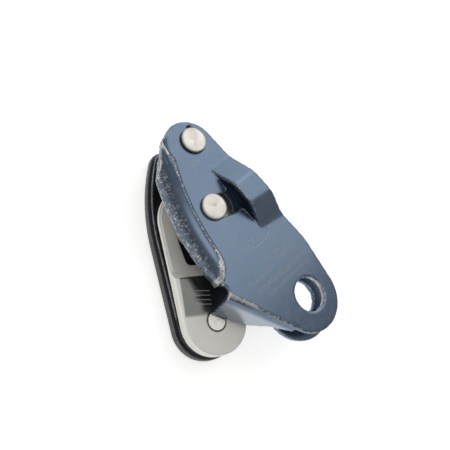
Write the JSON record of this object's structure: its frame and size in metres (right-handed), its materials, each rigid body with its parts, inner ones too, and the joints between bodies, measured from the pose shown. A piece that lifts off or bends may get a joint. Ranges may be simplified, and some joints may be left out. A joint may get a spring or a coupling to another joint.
{
  "type": "belay device",
  "caption": "Rope brake with two hinged side plates, a sprung braking cam and a fold-out release handle, hung from a round attachment hole.",
  "frame": {"origin": "on the attachment hole's axis, half way between the two side plates at the hole", "axes": "+Z square to the side plates, towards the moving plate; +Y from the attachment hole towards the plate pivot; +X away from the cam's nose"},
  "size_m": [0.067, 0.11, 0.0368],
  "materials": {
    "anodised_plate": "satin steel-blue anodised, worn to bare metal on its bends and edges",
    "cam_steel": "cast and ground stainless steel",
    "hardened_steel": "ground hardened steel",
    "rivet_steel": "turned steel",
    "washer_steel": "plain steel",
    "bush_bronze": "sintered bronze",
    "spring_steel": "drawn wire",
    "handle_metal": "black anodised, edge worn light",
    "handle_plastic": "fine-textured moulding"
  },
  "bodies": {
    "frame": {"fixed_side_plate": "anodised_plate", "rope_guide": "anodised_plate", "pivot_axle": "rivet_steel", "cam_axle": "rivet_steel", "friction_block": "hardened_steel", "friction_block_dowel": "rivet_steel", "pivot_washer": "washer_steel", "cam_stop_pin": "rivet_steel"},
    "moving_side": {"moving_side_plate": "anodised_plate", "plate_pivot_bush": "bush_bronze"},
    "cam": {"cam_body": "cam_steel", "cam_flange": "cam_steel", "cam_bush": "bush_bronze", "cam_spring": "spring_steel", "handle_pivot_pin": "rivet_steel", "handle_washer": "washer_steel"},
    "handle": {"handle_arm": "handle_metal", "handle_grip": "handle_plastic", "handle_bush": "bush_bronze", "handle_spring": "spring_steel", "handle_rivets": "rivet_steel"}
  },
  "joints": [
    {"name": "plate_swing", "type": "hinge", "parent": "frame", "child": "moving_side", "pos_m": [-0.0011, 0.0822, 0], "axis": [0, 0, -1], "range_deg": [0, 120]},
    {"name": "cam_pivot", "type": "hinge", "parent": "frame", "child": "cam", "pos_m": [-0.013, 0.0541, 0], "axis": [0, 0, -1], "range_deg": [0, 18], "stiffness_Nm_per_rad": 0.15, "springref_deg": -20.05, "deforming": ["cam_spring"]},
    {"name": "handle_fold", "type": "hinge", "parent": "cam", "child": "handle", "pos_m": [-0.0361, 0.0158, -0.015], "axis": [0, 0, 1], "range_deg": [0, 150], "stiffness_Nm_per_rad": 0.03, "springref_deg": -34.38, "deforming": ["handle_spring"]}
  ]
}
